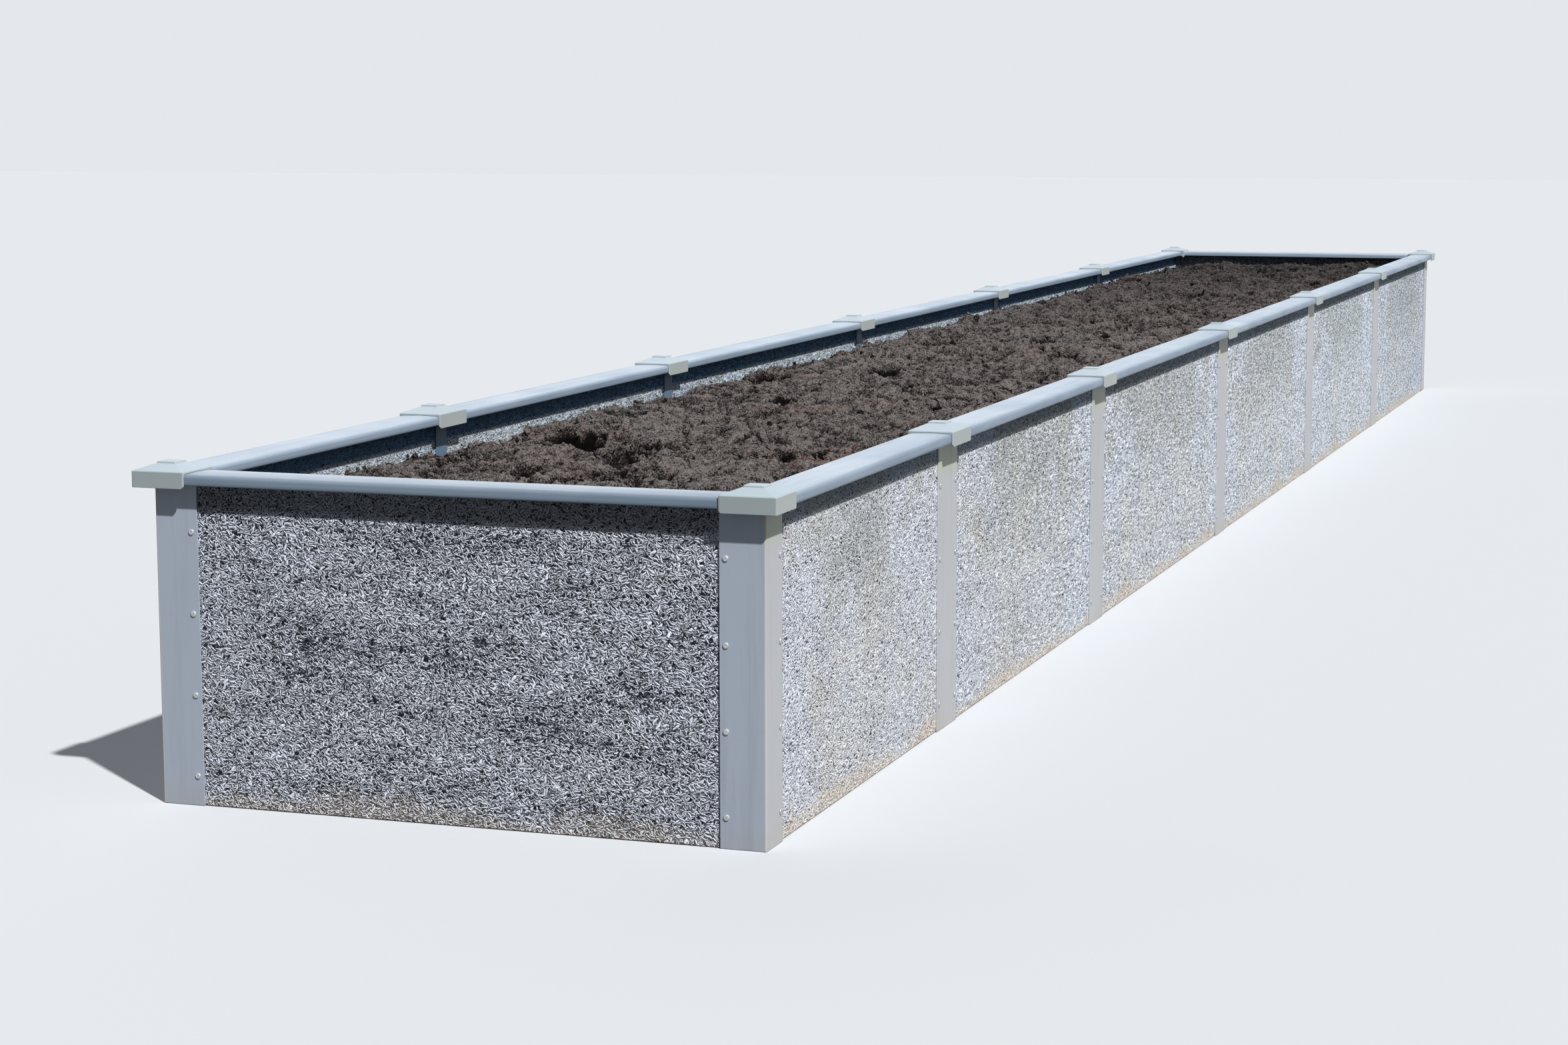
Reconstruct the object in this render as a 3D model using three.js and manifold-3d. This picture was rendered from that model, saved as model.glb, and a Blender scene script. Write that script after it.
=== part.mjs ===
// A raised garden bed. Boards of cement-bonded wood wool stand in the slots of hollow posts,
// top rails close the boards, caps slip over the rail ends and plug into the posts, and soil
// fills the inside. Millimetres, +Z up, the long walls along Y, and the origin on the ground
// under the middle of the bed.
import * as THREE from "three";
import { mergeVertices } from "three/addons/utils/BufferGeometryUtils.js";
import Module from "manifold-3d";

const wasm = await Module();
wasm.setup();

// ---- Driving dimensions ----

// The bed in plan. A bay runs from post centre to post centre, and an end bay runs to the
// outer face of its corner post. The near end is at -Y.
const BED_WIDTH = 1000; // over the outer faces of the posts
const NEAR_BAY = 960;
const SECOND_BAY = 1160;
const LONG_BAY = 1400;
const LONG_BAYS = 4;

// Boards
const BOARD_THICKNESS = 25;
const BOARD_BEVEL = 1.5; // on its long edges
const BOARD_PLAY = 0.5; // on each face of a board, in the slots of posts and rails
const BOARD_END_GAP = 1; // from a board's end to the core of the post
const BOARD_HEAD_GAP = 3; // from a board's top edge up to the inside of the rail

// Posts
const POST_HEIGHT = 505;
const POST_WALL = 2.5;
const POST_FACE = 118; // outer face of an intermediate post
const POST_CORE = 22; // its hollow core, measured along the wall
const CORNER_FACE = 72; // each outer face of a corner post
const CORNER_RADIUS = 2; // the corner post's outer arris
const INNER_LIP = 11; // from a post's core to the free edge of its inner flange

// Screw holes down the outer flanges of the posts
const SCREW_ROWS = 4;
const SCREW_FIRST = 47; // height of the lowest hole
const SCREW_LAST = 431; // height of the highest hole
const SCREW_EDGE = 10; // from a hole to the free edge of its flange
const SCREW_HOLE = 4.5; // diameter

// Top rails
const RAIL_WIDTH = 76;
const RAIL_HEIGHT = 18; // at the crown
const RAIL_WALL = 2;
const RAIL_CROWN = 1; // rise of the top face between its rounded edges
const RAIL_RADIUS = 6; // rounded upper edges
const RAIL_BEVEL = 1.5; // lower edges
const RAIL_GUIDE = 6; // height of the upstands beside the board

// Caps
const CAP_LENGTH = 116; // along the wall, on an intermediate post
const CAP_CORNER_LAP = 11; // how far a corner cap reaches past the rails' inner faces
const CAP_WALL = 2.5;
const CAP_PLAY = 0.4; // between a rail and the cap
const CAP_DROP = 5; // how far the skirt hangs below the post tops
const CAP_BEVEL = 1.2; // round the top of the skirt
const CAP_RADIUS = 2; // upright edges
const CAP_CLIP = 4; // cut off the lower corners of the skirt's ends
const HIP_RISE = 9.4; // from the skirt to the foot of the plateau
const PLATEAU_SIDE = 34;
const PLATEAU_STEP = 2.5;
const PLUG_PLAY = 1; // round the plug, in the post's core
const PLUG_DEPTH = 30; // below the post tops
const PLUG_WALL = 2;

// Seats and soil
const SEAT_GAP = 0.3; // from the post tops to the rails
const RAIL_END_GAP = 1.5; // from a rail's end to a plug, or to the rail round the corner
const SOIL_GAP = 0.5; // from the soil to boards and posts
const SOIL_LEFT_DROP = 49; // from the post tops down to the crests of the soil at its near left
const SOIL_RIGHT_DROP = 39; // and at its near right
const SOIL_RISE = 14; // of the soil from the near end to the far end
const SOIL_HEAP = 8; // rise of the soil between the walls
const SOIL_LUMP = 20; // from the crests of its lumps down to the hollows
const SOIL_PITCH = 110; // between the points where its top rises and falls

const CURVE_STEPS = 2; // straight pieces in the crown, and half of those in a quarter circle
const HOLE_SIDES = 6;
const OVERCUT = 5; // how far a cutter runs past what it cuts

// ---- Derived dimensions ----

const longBays = [NEAR_BAY, SECOND_BAY, ...Array(LONG_BAYS).fill(LONG_BAY)];
const bedLength = longBays.reduce((sum, bay) => sum + bay, 0);

// Depths are measured inwards from the outer face of a wall.
const slotWidth = BOARD_THICKNESS + 2 * BOARD_PLAY;
const slotEnd = POST_WALL + slotWidth;
const innerFace = slotEnd + POST_WALL;
const wallMiddle = POST_WALL + slotWidth / 2;
const boardFront = wallMiddle - BOARD_THICKNESS / 2;
const boardBack = wallMiddle + BOARD_THICKNESS / 2;
const railFront = wallMiddle - RAIL_WIDTH / 2;
const railBack = wallMiddle + RAIL_WIDTH / 2;
const sleeveFront = railFront - CAP_PLAY;
const capFront = sleeveFront - CAP_WALL;
const capBack = railBack + CAP_PLAY + CAP_WALL;

// Heights in rails and caps are measured up from the post tops.
const railTop = SEAT_GAP + RAIL_HEIGHT;
const capCeiling = railTop + CAP_PLAY;
const skirtTop = capCeiling + CAP_WALL;
const hipTop = skirtTop + HIP_RISE;
const plateauTop = hipTop + PLATEAU_STEP;
const boardHeight = POST_HEIGHT + railTop - RAIL_CROWN - RAIL_WALL - BOARD_HEAD_GAP;

// Along a wall
const coreHalf = POST_CORE / 2;
const plugWidth = POST_CORE - 2 * POST_WALL - 2 * PLUG_PLAY;
const plugDepth = slotWidth - 2 * PLUG_PLAY;
const railSetback = plugWidth / 2 + RAIL_END_GAP; // from a post's centre to the rail's end
const cornerSetback = railBack + RAIL_END_GAP; // from the corner to the rail's end
const cornerCapEnd = railBack + CAP_CORNER_LAP;

// ---- Materials ----

const finish = (color, roughness) => new THREE.MeshStandardMaterial({ color, roughness });
const boardFinish = finish(0x9a9c9c, 0.95);
const postFinish = finish(0xa9adb2, 0.45);
const railFinish = finish(0xb9c6d6, 0.35);
const capFinish = finish(0xd3d6cc, 0.5);
const soilFinish = finish(0x4b4039, 1);

// ---- Solids ----

function toSolid(geometry) {
  const bare = geometry.clone();
  for (const name of ["normal", "uv"]) bare.deleteAttribute(name);
  const merged = mergeVertices(bare, 1e-3);
  return new wasm.Manifold(
    new wasm.Mesh({
      numProp: 3,
      vertProperties: new Float32Array(merged.attributes.position.array),
      triVerts: new Uint32Array(merged.index.array),
    }),
  );
}

function toGeometry(solid) {
  const { vertProperties, triVerts } = solid.getMesh();
  const geometry = new THREE.BufferGeometry();
  geometry.setAttribute("position", new THREE.BufferAttribute(vertProperties, 3));
  geometry.setIndex(new THREE.BufferAttribute(triVerts, 1));
  const flat = geometry.toNonIndexed();
  flat.computeVertexNormals();
  return flat;
}

const cut = (body, cutters) =>
  cutters.reduce((solid, cutter) => solid.subtract(cutter), body);

function polygon(points) {
  return new THREE.Shape(points.map(([x, y]) => new THREE.Vector2(x, y)));
}

function rectangle(xMin, xMax, yMin, yMax) {
  return polygon([[xMin, yMin], [xMax, yMin], [xMax, yMax], [xMin, yMax]]);
}

// An outline in (x, y) pulled up along Z.
function upright(outline, height) {
  return new THREE.ExtrudeGeometry(outline, {
    depth: height,
    bevelEnabled: false,
    curveSegments: CURVE_STEPS,
  });
}

// A section in (depth, height) run along X, centred on the wall frame's origin.
const sectionAxes = new THREE.Matrix4().makeBasis(
  new THREE.Vector3(0, 1, 0),
  new THREE.Vector3(0, 0, 1),
  new THREE.Vector3(1, 0, 0),
);
function lengthwise(section, length) {
  return upright(section, length).translate(0, 0, -length / 2).applyMatrix4(sectionAxes);
}

// At a corner post X and Y run along the two walls. A quarter turn about the middle of the
// post's core takes a shape that is even about that middle from one wall to the other.
function roundCorner(geometry) {
  const turned = geometry.clone();
  turned.translate(-wallMiddle, -wallMiddle, 0);
  turned.rotateZ(Math.PI / 2);
  return turned.translate(wallMiddle, wallMiddle, 0);
}

// ---- Boards ----

function board(length) {
  const [front, back, top, bevel] = [boardFront, boardBack, boardHeight, BOARD_BEVEL];
  const section = polygon([
    [front + bevel, 0],
    [back - bevel, 0],
    [back, bevel],
    [back, top - bevel],
    [back - bevel, top],
    [front + bevel, top],
    [front, top - bevel],
    [front, bevel],
  ]);
  return lengthwise(section, length);
}

// ---- Posts ----

// A wide outer flange and a narrow inner flange on a hollow core leave one slot on each side
// for a board.
function postSection() {
  const face = POST_FACE / 2;
  const lip = coreHalf + INNER_LIP;
  return polygon([
    [-face, 0],
    [face, 0],
    [face, POST_WALL],
    [coreHalf, POST_WALL],
    [coreHalf, slotEnd],
    [lip, slotEnd],
    [lip, innerFace],
    [-lip, innerFace],
    [-lip, slotEnd],
    [-coreHalf, slotEnd],
    [-coreHalf, POST_WALL],
    [-face, POST_WALL],
  ]);
}

// The hollow core fills the corner, and a slot opens along each wall.
function cornerPostSection() {
  const lip = innerFace + INNER_LIP;
  const section = new THREE.Shape();
  section.absarc(CORNER_RADIUS, CORNER_RADIUS, CORNER_RADIUS, Math.PI, 1.5 * Math.PI);
  const corners = [
    [CORNER_FACE, 0],
    [CORNER_FACE, POST_WALL],
    [innerFace, POST_WALL],
    [innerFace, slotEnd],
    [lip, slotEnd],
    [lip, innerFace],
    [innerFace, innerFace],
    [innerFace, lip],
    [slotEnd, lip],
    [slotEnd, innerFace],
    [POST_WALL, innerFace],
    [POST_WALL, CORNER_FACE],
    [0, CORNER_FACE],
  ];
  for (const [x, y] of corners) section.lineTo(x, y);
  section.closePath();
  return section;
}

// The bore of a post's core, over its depth and from one place along the wall to another.
function coreBore(from, to) {
  const bore = upright(rectangle(from, to, POST_WALL, slotEnd), POST_HEIGHT + 2 * OVERCUT);
  return toSolid(bore.translate(0, 0, -OVERCUT));
}

// A column of cutters at one place in plan, each along Y, or along X after a quarter turn.
function screwHoles(x, y, turn = 0) {
  const pitch = (SCREW_LAST - SCREW_FIRST) / (SCREW_ROWS - 1);
  const radius = SCREW_HOLE / 2;
  return Array.from({ length: SCREW_ROWS }, (_, row) => {
    const hole = new THREE.CylinderGeometry(radius, radius, 2 * POST_WALL, HOLE_SIDES);
    hole.rotateZ(turn);
    return toSolid(hole.translate(x, y, SCREW_FIRST + row * pitch));
  });
}

function intermediatePost() {
  const body = toSolid(upright(postSection(), POST_HEIGHT));
  const reach = POST_FACE / 2 - SCREW_EDGE;
  const depth = POST_WALL / 2;
  const bore = coreBore(POST_WALL - coreHalf, coreHalf - POST_WALL);
  const holes = [...screwHoles(-reach, depth), ...screwHoles(reach, depth)];
  return toGeometry(cut(body, [bore, ...holes]));
}

function cornerPost() {
  const body = toSolid(upright(cornerPostSection(), POST_HEIGHT));
  const reach = CORNER_FACE - SCREW_EDGE;
  const depth = POST_WALL / 2;
  const bore = coreBore(POST_WALL, slotEnd);
  const holes = [...screwHoles(reach, depth), ...screwHoles(depth, reach, Math.PI / 2)];
  return toGeometry(cut(body, [bore, ...holes]));
}

// ---- Rails ----

// A rail's outer line from its front foot over the crown to its back foot, set outwards by
// some play, in heights above the rail's underside.
function railOutline(play, footHeight) {
  const front = railFront - play;
  const back = railBack + play;
  const radius = RAIL_RADIUS + play;
  const shoulder = RAIL_HEIGHT - RAIL_CROWN + play;
  const outline = new THREE.Path();
  outline.moveTo(front, footHeight);
  outline.lineTo(front, shoulder - radius);
  outline.absarc(front + radius, shoulder - radius, radius, Math.PI, Math.PI / 2, true);
  outline.quadraticCurveTo(wallMiddle, shoulder + 2 * RAIL_CROWN, back - radius, shoulder);
  outline.absarc(back - radius, shoulder - radius, radius, Math.PI / 2, 0, true);
  outline.lineTo(back, footHeight);
  return outline.getPoints(CURVE_STEPS).map(({ x, y }) => [x, y]);
}

// A hollow crowned shell whose feet turn in under it, and up again beside the board.
function rail(length) {
  const slotFront = wallMiddle - slotWidth / 2;
  const slotBack = wallMiddle + slotWidth / 2;
  const section = polygon([
    [slotFront, 0],
    [railFront + RAIL_BEVEL, 0],
    ...railOutline(0, RAIL_BEVEL),
    [railBack - RAIL_BEVEL, 0],
    [slotBack, 0],
    [slotBack, RAIL_GUIDE],
    [slotBack + RAIL_WALL, RAIL_GUIDE],
    [slotBack + RAIL_WALL, RAIL_WALL],
    ...railOutline(-RAIL_WALL, RAIL_WALL).reverse(),
    [slotFront - RAIL_WALL, RAIL_WALL],
    [slotFront - RAIL_WALL, RAIL_GUIDE],
    [slotFront, RAIL_GUIDE],
  ]);
  return lengthwise(section, length);
}

// ---- Caps ----

// A level outline of a rectangle with rounded corners, anticlockwise from above. The
// rectangle is [xMin, xMax, yMin, yMax], and the inset draws all its sides in.
function ring([xMin, xMax, yMin, yMax], inset, radius, height) {
  const reach = inset + radius;
  const centres = [
    [xMax - reach, yMin + reach],
    [xMax - reach, yMax - reach],
    [xMin + reach, yMax - reach],
    [xMin + reach, yMin + reach],
  ];
  return centres.flatMap(([x, y], corner) =>
    [-2, -1, 0].map((step) => {
      const angle = (corner + step / 2) * (Math.PI / 2);
      return new THREE.Vector3(
        x + radius * Math.cos(angle),
        y + radius * Math.sin(angle),
        height,
      );
    }),
  );
}

// A closed solid skinned over a stack of such outlines, the lowest first.
function loft(rings) {
  const count = rings[0].length;
  const topStart = (rings.length - 1) * count;
  const index = [];
  for (let start = 0; start < topStart; start += count) {
    for (let i = 0; i < count; i++) {
      const below = start + i;
      const nextBelow = start + ((i + 1) % count);
      index.push(below, nextBelow, nextBelow + count);
      index.push(below, nextBelow + count, below + count);
    }
  }
  for (let i = 1; i + 1 < count; i++) {
    index.push(0, i + 1, i);
    index.push(topStart, topStart + i, topStart + i + 1);
  }
  const geometry = new THREE.BufferGeometry().setFromPoints(rings.flat());
  geometry.setIndex(index);
  return toSolid(geometry);
}

function plateauPlan([xMin, xMax, yMin, yMax]) {
  const middleX = (xMin + xMax) / 2;
  const middleY = (yMin + yMax) / 2;
  const half = PLATEAU_SIDE / 2;
  return [middleX - half, middleX + half, middleY - half, middleY + half];
}

// The cap's outside: the skirt, the hipped top and the plateau.
function capBody(plan) {
  const plateau = plateauPlan(plan);
  return loft([
    ring(plan, 0, CAP_RADIUS, -CAP_DROP),
    ring(plan, 0, CAP_RADIUS, skirtTop - CAP_BEVEL),
    ring(plan, CAP_BEVEL, CAP_RADIUS, skirtTop),
    ring(plateau, 0, CAP_RADIUS, hipTop),
    ring(plateau, CAP_BEVEL / 2, CAP_RADIUS, plateauTop),
  ]);
}

// The hollow under the hipped top. It opens down into the sleeve.
function hipHollow(plan) {
  const ledge = CAP_WALL + CAP_PLAY + RAIL_RADIUS;
  return loft([
    ring(plan, ledge, CAP_RADIUS, capCeiling - RAIL_CROWN - CAP_PLAY),
    ring(plateauPlan(plan), CAP_WALL, CAP_RADIUS, hipTop - CAP_WALL),
  ]);
}

// The space for a rail inside a cap, down through the open underside.
function sleeve(length) {
  const outline = railOutline(CAP_PLAY, -CAP_DROP - SEAT_GAP - OVERCUT);
  return lengthwise(polygon(outline), length).translate(0, 0, SEAT_GAP);
}

// Cuts the skirt's lower corners off at the end at x. The end faces X, or against it for a
// side of -1.
function endClip(x, side = 1) {
  const depth = capBack - capFront + 2 * OVERCUT;
  const clip = polygon([
    [x - side * (CAP_CLIP + OVERCUT), -CAP_DROP - OVERCUT],
    [x + side * OVERCUT, -CAP_DROP - OVERCUT],
    [x + side * OVERCUT, -CAP_DROP + CAP_CLIP + OVERCUT],
  ]);
  return upright(clip, depth)
    .translate(0, 0, -depth / 2)
    .rotateX(Math.PI / 2)
    .translate(0, wallMiddle, 0);
}

// The hollow plug that stands in the post's core. It reaches up through the gap between the
// rails to the roof of the cap.
function plug(middleX, width, depth) {
  const tube = (wall) => rectangle(
    middleX - width / 2 + wall,
    middleX + width / 2 - wall,
    wallMiddle - depth / 2 + wall,
    wallMiddle + depth / 2 - wall,
  );
  const outside = upright(tube(0), PLUG_DEPTH + hipTop).translate(0, 0, -PLUG_DEPTH);
  const bore = upright(tube(PLUG_WALL), PLUG_DEPTH + OVERCUT + railTop);
  return toSolid(outside).subtract(toSolid(bore.translate(0, 0, -PLUG_DEPTH - OVERCUT)));
}

function intermediateCap() {
  const half = CAP_LENGTH / 2;
  const plan = [-half, half, capFront, capBack];
  const cutters = [
    toSolid(sleeve(CAP_LENGTH + 2 * OVERCUT)),
    hipHollow(plan),
    toSolid(endClip(half)),
    toSolid(endClip(-half, -1)),
  ];
  return cut(capBody(plan), cutters).add(plug(0, plugWidth, plugDepth));
}

function cornerCap() {
  const plan = [capFront, cornerCapEnd, capFront, cornerCapEnd];
  const length = cornerCapEnd + OVERCUT - sleeveFront;
  const space = sleeve(length).translate(sleeveFront + length / 2, 0, 0);
  const clip = endClip(cornerCapEnd);
  const cutters = [
    toSolid(space),
    toSolid(roundCorner(space)),
    hipHollow(plan),
    toSolid(clip),
    toSolid(roundCorner(clip)),
  ];
  return cut(capBody(plan), cutters).add(plug(wallMiddle, plugDepth, plugDepth));
}

// Shapes that repeat are made once and shared by their nodes.
const shapes = {
  post: intermediatePost(),
  cornerPost: cornerPost(),
  cap: toGeometry(intermediateCap()),
  cornerCap: toGeometry(cornerCap()),
};

// ---- Assembly ----

const bed = new THREE.Group();

function addNode(parent, name, geometry, material, x, z) {
  const node = new THREE.Mesh(geometry, material);
  node.name = name;
  node.position.set(x, 0, z);
  parent.add(node);
  return node;
}

// A wall's frame has X along the wall and Y inwards from its outer face. Going round
// anticlockwise, each wall starts at the corner post that it brings along.
function addWall({ name, corner, turns, reach, bays, number }) {
  const frame = new THREE.Group();
  frame.rotation.z = turns * (Math.PI / 2);
  frame.translateY(-reach);
  bed.add(frame);

  const length = bays.reduce((sum, bay) => sum + bay, 0);
  addNode(frame, `${corner}_corner_post`, shapes.cornerPost, postFinish, -length / 2, 0);
  addNode(frame, `${corner}_corner_cap`, shapes.cornerCap, capFinish, -length / 2, POST_HEIGHT);

  let start = -length / 2;
  bays.forEach((bay, i) => {
    const end = start + bay;
    const first = i === 0;
    const last = i === bays.length - 1;
    const tag = number(i, bays.length);
    const span = (atCorner, atPost) => {
      const from = start + (first ? atCorner : atPost);
      const to = end - (last ? atCorner : atPost);
      return { length: to - from, middle: (from + to) / 2 };
    };
    const boardSpan = span(innerFace + BOARD_END_GAP, coreHalf + BOARD_END_GAP);
    const railSpan = span(cornerSetback, railSetback);
    addNode(frame, `${name}_board${tag}`, board(boardSpan.length), boardFinish,
      boardSpan.middle, 0);
    addNode(frame, `${name}_rail${tag}`, rail(railSpan.length), railFinish,
      railSpan.middle, POST_HEIGHT + SEAT_GAP);
    if (!last) {
      const postTag = number(i, bays.length - 1);
      addNode(frame, `${name}_post${postTag}`, shapes.post, postFinish, end, 0);
      addNode(frame, `${name}_cap${postTag}`, shapes.cap, capFinish, end, POST_HEIGHT);
    }
    start = end;
  });
  return frame;
}

const alone = () => "";
const upwards = (i) => `_${i + 1}`;
const downwards = (i, count) => `_${count - i}`;
const walls = [
  {
    name: "near", corner: "near_left", turns: 0,
    reach: bedLength / 2, bays: [BED_WIDTH], number: alone,
  },
  {
    name: "right", corner: "near_right", turns: 1,
    reach: BED_WIDTH / 2, bays: longBays, number: upwards,
  },
  {
    name: "far", corner: "far_right", turns: 2,
    reach: bedLength / 2, bays: [BED_WIDTH], number: alone,
  },
  {
    name: "left", corner: "far_left", turns: 3,
    reach: BED_WIDTH / 2, bays: longBays.toReversed(), number: downwards,
  },
];
const frames = walls.map(addWall);

// ---- Soil ----

// How deep the soil's hollow is at a point of its grid, from 0 on a crest to 1. It varies
// from point to point without any plain order, and it is the same in each build.
function hollowAt(column, row) {
  const roll = 43758.5453 * Math.sin(12.9898 * column + 78.233 * row);
  return roll - Math.floor(roll);
}

// A slab whose top heaps up between the long walls, in lumps that are lower beside the walls.
function soilHeap() {
  const side = BED_WIDTH / 2 - boardBack - SOIL_GAP;
  const end = bedLength / 2 - boardBack - SOIL_GAP;
  const left = POST_HEIGHT - SOIL_LEFT_DROP;
  const right = POST_HEIGHT - SOIL_RIGHT_DROP;
  const columns = Math.round((2 * side) / SOIL_PITCH);
  const rows = Math.round((2 * end) / SOIL_PITCH);
  const slab = new THREE.BoxGeometry(2 * side, 2 * end, POST_HEIGHT, columns, rows, 1);
  const corners = slab.attributes.position;
  for (let i = 0; i < corners.count; i++) {
    const across = corners.getX(i) / side;
    const along = corners.getY(i) / end;
    const column = Math.round(((across + 1) / 2) * columns);
    const row = Math.round(((along + 1) / 2) * rows);
    const slope = ((right - left) / 2) * across + SOIL_RISE * ((along + 1) / 2);
    const heap = SOIL_HEAP * (1 - across ** 2);
    const lump = SOIL_LUMP * (1 - across ** 2 / 2) * hollowAt(column, row);
    const top = (left + right) / 2 + slope + heap - lump;
    corners.setZ(i, corners.getZ(i) > 0 ? top : 0);
  }
  return slab;
}

// The room that the inner flanges of a wall's posts take out of the soil.
function flangeRoom(frame) {
  frame.updateMatrixWorld(true);
  const posts = frame.children.filter((node) => node.name.includes("_post"));
  return posts.flatMap((post) => {
    const isCorner = post.name.includes("corner");
    const reach = (isCorner ? innerFace : coreHalf) + INNER_LIP + SOIL_GAP;
    const outline = rectangle(isCorner ? 0 : -reach, reach, 0, innerFace + SOIL_GAP);
    const room = upright(outline, POST_HEIGHT + 2 * OVERCUT).translate(0, 0, -OVERCUT);
    const rooms = isCorner ? [room, roundCorner(room)] : [room];
    return rooms.map((shape) => toSolid(shape.applyMatrix4(post.matrixWorld)));
  });
}

const soil = cut(toSolid(soilHeap()), frames.flatMap(flangeRoom));
addNode(bed, "soil", toGeometry(soil), soilFinish, 0, 0);

export default bed;
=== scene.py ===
import math

import bmesh
import bpy
import numpy as np
from mathutils import Euler, Matrix, Vector


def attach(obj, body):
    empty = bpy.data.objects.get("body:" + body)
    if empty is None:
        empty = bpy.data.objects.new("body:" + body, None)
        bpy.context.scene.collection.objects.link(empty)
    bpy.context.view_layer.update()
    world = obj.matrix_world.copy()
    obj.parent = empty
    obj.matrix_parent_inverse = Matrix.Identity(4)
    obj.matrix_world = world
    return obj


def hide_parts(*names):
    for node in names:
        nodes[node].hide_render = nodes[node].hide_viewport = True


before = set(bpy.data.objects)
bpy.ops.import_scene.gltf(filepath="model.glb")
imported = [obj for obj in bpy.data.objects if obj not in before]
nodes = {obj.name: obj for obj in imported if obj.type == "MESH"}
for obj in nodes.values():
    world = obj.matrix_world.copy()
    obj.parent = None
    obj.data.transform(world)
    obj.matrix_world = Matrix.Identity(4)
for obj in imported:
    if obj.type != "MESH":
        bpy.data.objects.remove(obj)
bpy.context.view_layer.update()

# ---- Sizes, in metres ----

BAYS = [0.96, 1.16, 1.4, 1.4, 1.4, 1.4]
LENGTH = sum(BAYS)
WIDTH = 1.0
POST_CENTRES = [sum(BAYS[: i + 1]) - LENGTH / 2 for i in range(len(BAYS) - 1)]
POST_FACE = 0.118  # width of a side post's outer flange
CORNER_FACE = 0.072  # width of a corner post's outer flanges
BOARD_INSIDE = 0.0285  # from a wall's outer face to the inner face of its board
POST_INSIDE = 0.0312  # and to the inner face of its posts
POST_LIP = 0.0225  # half the width of a side post's inner flange
CORNER_LIP = 0.0425  # reach of a corner post's inner flanges from the corner

SCREW_EDGE = 0.010  # from a flange's edge to its screws
SCREW_HEIGHTS = [0.047 + 0.128 * row for row in range(4)]
HEAD_RADIUS = 0.0047
HEAD_HEIGHT = 0.0026
HEAD_CURVE = 0.86  # 1 for a half ball, 0 for a flat disc
RECESS_FLOOR = 0.0014  # height of the recess at the head's centre
RECESS_DEPTH = 0.0010
RECESS_REACH = 0.6  # a share of the head's radius, as are the next two
RECESS_ARM = 0.14
SHANK_RADIUS = 0.44
SHANK_DEPTH = 0.0024
SEAT_GAP = 0.0001

SOIL_LEFT = 0.456
SOIL_RIGHT = 0.466
SOIL_RISE = 0.014  # from the near end to the far end
SOIL_HEAP = 0.008
SOIL_LUMP = 0.020
SOIL_PITCH = 0.110
SOIL_FOOT = 0.001
SOIL_SPLITS = (-1.60, 0.95)  # where the near, middle and far pieces of the soil meet
CLOD_SPLIT = -1.2  # where the near and far clods meet
CLOD_MARGIN = 0.048  # from a wall's outer face to the loose clods

STRAND_LENGTH = 0.0120
STRAND_WIDTH = 0.0032
STRAND_CELL = 0.0080
STRAND_SWAY = 0.0055
STRAND_TURN = 1.25  # radians to either side
STRAND_LAYERS = 6
LAYER_TONE = 0.04  # what each layer gains in tone
LAYER_LIFT = 0.08  # and in height
# Painted shadow: STRAND_SHADE is the darkest tone beside a strand that lies higher.
STRAND_SHADE = 0.18  # darkest tone beside a strand that lies higher
STRAND_TILT = 0.42
BELT_HEIGHT = 0.25  # of the more open band of the end boards
SCUFFS = [(-3.40, 0.225), (-2.20, 0.206), (-0.92, 0.215)]  # place along the bed, lowest point
SCUFF_RADIUS = 2.4

# ---- Looks ----

# Pairs are a lowest and a highest value, or where something starts and where it is full.
# The end boards' look is a darker copy of the side boards', with more and darker gaps: painted
# shade of the strands' self-shadow. In both, the dark colour is that of the gaps between strands,
# painted shade.
END_BOARD = {
    "dark": (0.014, 0.017, 0.028),
    "light": (0.85, 0.905, 1.03),
    "lowest_tone": 0.38,
    "openness": (0.72, 1.25),
    "spread": 0.22,
    "stretch": 1.0,
    "hole_tone": 0.35,
    "mottle": (0.85, 1.15),
    "tone_range": (0.14, 0.585),
    # painted shadow of the rail: where it starts darkening the board's top and where it is full
    "painted_rail_shadow": (0.459, 0.473),
    # strength of the painted light bounced up from the ground at the board's foot
    "ground_glow": 0.4,
    "bump": 0.0085,
}
SIDE_BOARD = {
    "dark": (0.04, 0.044, 0.052),
    "light": (0.985, 1.015, 1.075),
    "lowest_tone": 0.74,
    "openness": (0.62, 0.93),
    "spread": 0.12,
    "stretch": 1.45,
    "hole_tone": 0.9,
    "mottle": (0.86, 1.12),
    "tone_range": (0.0, 0.74),
    # painted shadow of the rail: where it starts darkening the board's top and where it is full
    "painted_rail_shadow": (0.469, 0.479),
    # strength of the painted light bounced up from the ground at the board's foot
    "ground_glow": 0.8,
    "bump": 0.0034,
}
# Tints of the side boards along the bed: where each starts, where it is full, and its factor
BAY_TINTS = [
    (-3.0, -1.0, (1.03, 1.05, 1.065)),
    (0.0, 2.0, (1.01, 1.035, 1.055)),
    (2.3, 3.4, (0.88, 0.885, 0.89)),
]
FLOOR_LIT = (0.12, 0.12, 0.12)
FLOOR_SEEN = (0.725, 0.75, 0.78)
SKY_LIT = (0.86, 0.95, 1.08, 1.0)
SKY_SEEN = (0.93, 0.965, 1.0, 1.0)
SKY_STRENGTH = (0.105, 0.832)  # for the light that falls on the object, and as it is seen
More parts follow.
